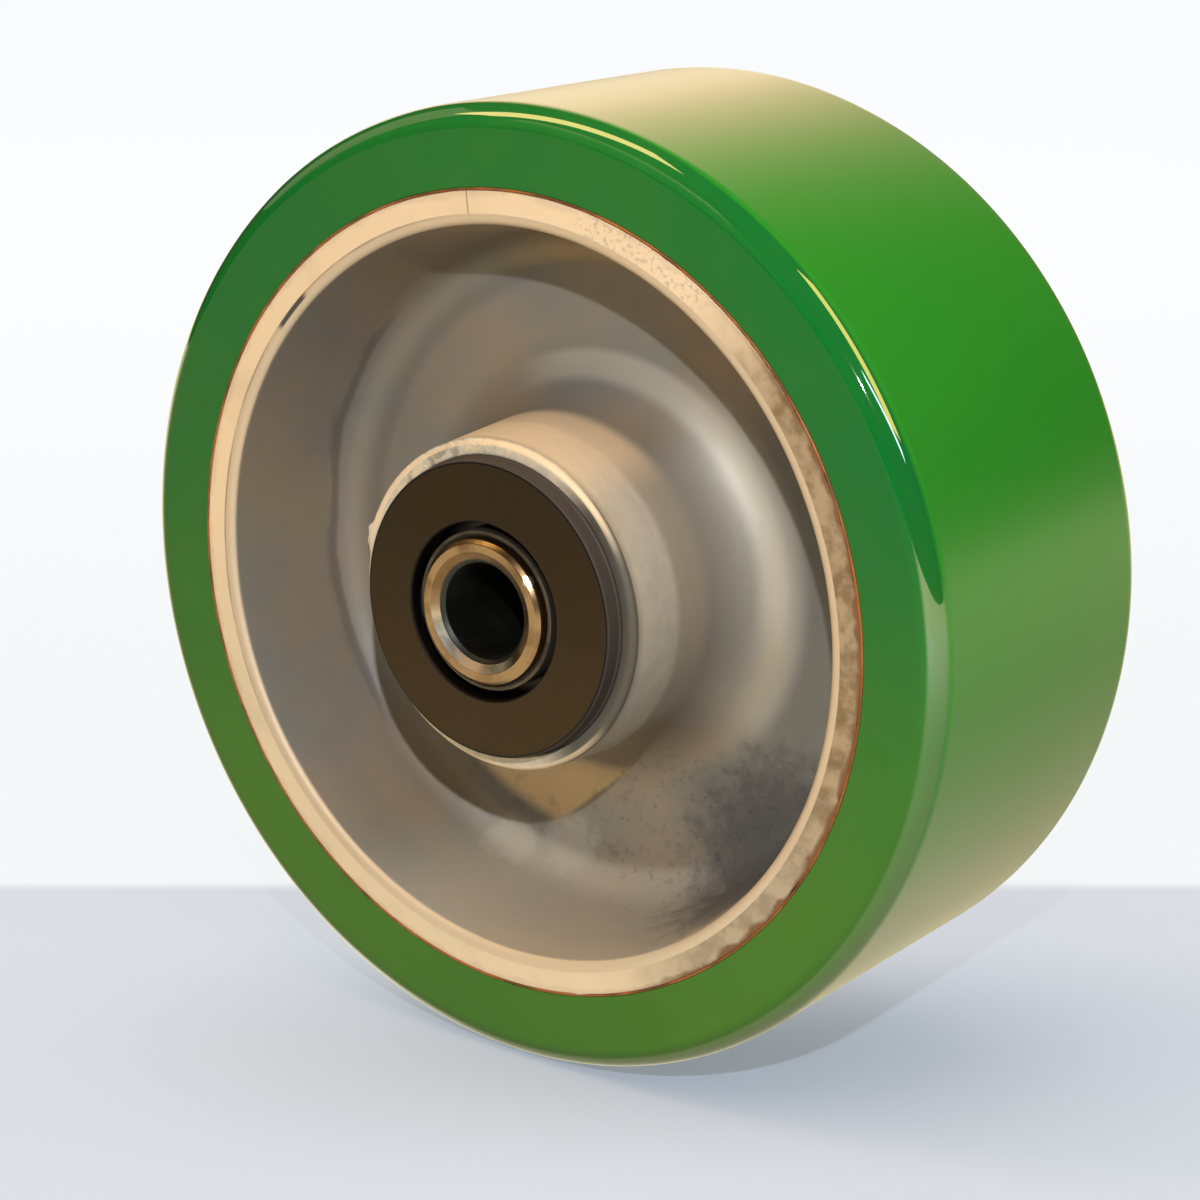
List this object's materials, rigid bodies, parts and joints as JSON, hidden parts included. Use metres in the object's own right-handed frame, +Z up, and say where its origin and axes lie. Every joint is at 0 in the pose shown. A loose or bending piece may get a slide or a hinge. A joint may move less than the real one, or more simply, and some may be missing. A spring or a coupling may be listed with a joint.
{
  "type": "polyurethane wheel",
  "caption": "Heavy castor wheel with a moulded green polyurethane tread on a dished cast aluminium hub, running on sealed ball bearings round an axle sleeve.",
  "frame": {"origin": "centre of the wheel, in the middle of the axle sleeve's bore", "axes": "+Y along the axle, from the front side towards the rear side; +Z up with the wheel upright, +X to the right seen from the front"},
  "size_m": [0.2, 0.1, 0.2],
  "materials": {
    "polyurethane": "satin",
    "bonding_agent": "satin",
    "cast_aluminium": "satin",
    "cover_plastic": "satin",
    "sleeve_steel": "satin",
    "collar_steel": "satin",
    "bearing_steel": "polished",
    "cage_steel": "satin",
    "seal_rubber": "matte"
  },
  "bodies": {
    "axle_set": {"axle_sleeve": "sleeve_steel", "spacer_tube": "collar_steel", "front_inner_ring": "bearing_steel", "front_end_collar": "collar_steel", "rear_inner_ring": "bearing_steel", "rear_end_collar": "collar_steel"},
    "wheel": {"tread": "polyurethane", "bond_coat": "bonding_agent", "hub_casting": "cast_aluminium", "front_outer_ring": "bearing_steel", "front_outer_seal": "seal_rubber", "front_inner_seal": "seal_rubber", "front_dust_cover": "cover_plastic", "rear_outer_ring": "bearing_steel", "rear_outer_seal": "seal_rubber", "rear_inner_seal": "seal_rubber", "rear_dust_cover": "cover_plastic"},
    "front_ball_set": {"front_cage_outer_half": "cage_steel", "front_cage_inner_half": "cage_steel", "front_cage_rivets": "cage_steel", "front_ball_1": "bearing_steel", "front_ball_2": "bearing_steel", "front_ball_3": "bearing_steel", "front_ball_4": "bearing_steel", "front_ball_5": "bearing_steel", "front_ball_6": "bearing_steel", "front_ball_7": "bearing_steel", "front_ball_8": "bearing_steel", "front_ball_9": "bearing_steel"},
    "rear_ball_set": {"rear_cage_outer_half": "cage_steel", "rear_cage_inner_half": "cage_steel", "rear_cage_rivets": "cage_steel", "rear_ball_1": "bearing_steel", "rear_ball_2": "bearing_steel", "rear_ball_3": "bearing_steel", "rear_ball_4": "bearing_steel", "rear_ball_5": "bearing_steel", "rear_ball_6": "bearing_steel", "rear_ball_7": "bearing_steel", "rear_ball_8": "bearing_steel", "rear_ball_9": "bearing_steel"}
  },
  "joints": [
    {"name": "wheel_spin", "type": "hinge", "parent": "axle_set", "child": "wheel", "pos_m": [0, 0, 0], "axis": [0, 1, 0], "continuous": true},
    {"name": "front_ball_orbit", "type": "hinge", "parent": "axle_set", "child": "front_ball_set", "pos_m": [0, -0.0335, 0], "axis": [0, 1, 0], "continuous": true},
    {"name": "rear_ball_orbit", "type": "hinge", "parent": "axle_set", "child": "rear_ball_set", "pos_m": [0, 0.0335, 0], "axis": [0, 1, 0], "continuous": true}
  ],
  "couplings": [
    {"joint": "front_ball_orbit", "follows": "wheel_spin", "ratio": 0.60353},
    {"joint": "rear_ball_orbit", "follows": "wheel_spin", "ratio": 0.60353}
  ]
}
